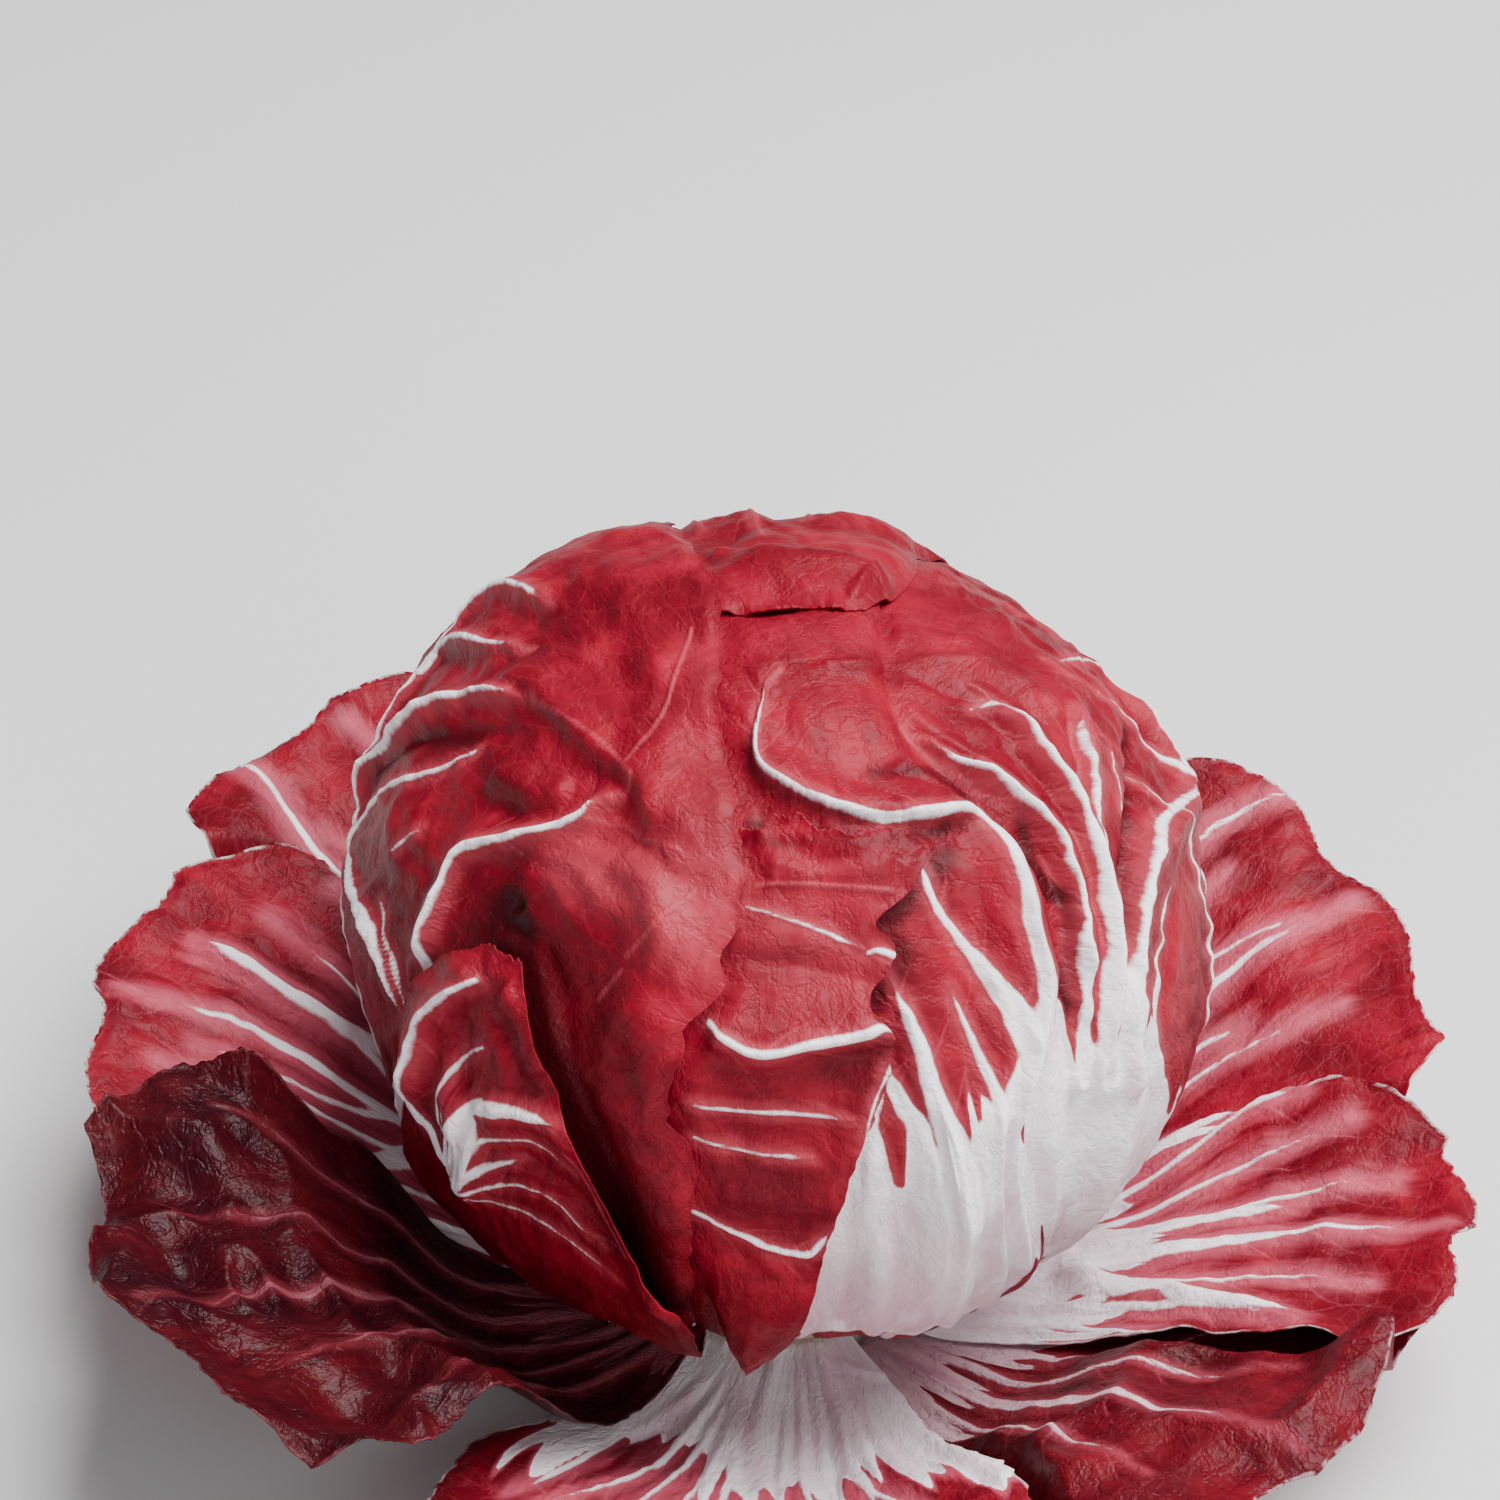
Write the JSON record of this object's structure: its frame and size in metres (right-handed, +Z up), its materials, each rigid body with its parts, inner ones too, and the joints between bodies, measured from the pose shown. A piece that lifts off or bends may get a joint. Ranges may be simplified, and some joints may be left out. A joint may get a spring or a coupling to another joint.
{
  "type": "radicchio head",
  "caption": "Radicchio head, wine red with white ribs: a packed heart wrapped in leaves on a cut stump, with loose outer leaves spread beneath it",
  "frame": {"origin": "centre of the stump's flat cut face, which the plant rests on", "axes": "+Z up through the head's top, -Y towards the side with the seam and the front flap, +X to the viewer's right"},
  "size_m": [0.198, 0.2019, 0.1197],
  "materials": {
    "pale_flesh": "moist white flesh, cut",
    "head_leaf": "waxy wine-red leaf with white ribs",
    "outer_leaf": "waxy dark red leaf with white ribs",
    "dark_leaf": "crumpled dark purple-red leaf"
  },
  "bodies": {
    "root": {"stump": "pale_flesh", "heart": "head_leaf", "leaf_right": "head_leaf", "leaf_back": "head_leaf", "leaf_front_right": "head_leaf", "leaf_crown": "head_leaf", "leaf_front_flap": "head_leaf", "leaf_front_left": "head_leaf", "leaf_left_back": "head_leaf", "leaf_rolled_lobe": "head_leaf", "outer_leaf_under_front_right": "outer_leaf", "outer_leaf_right": "outer_leaf", "outer_leaf_back_left": "outer_leaf", "outer_leaf_back": "outer_leaf", "outer_leaf_left": "outer_leaf", "outer_leaf_front": "outer_leaf", "outer_leaf_front_right": "outer_leaf", "outer_leaf_front_left": "dark_leaf"}
  },
  "joints": []
}
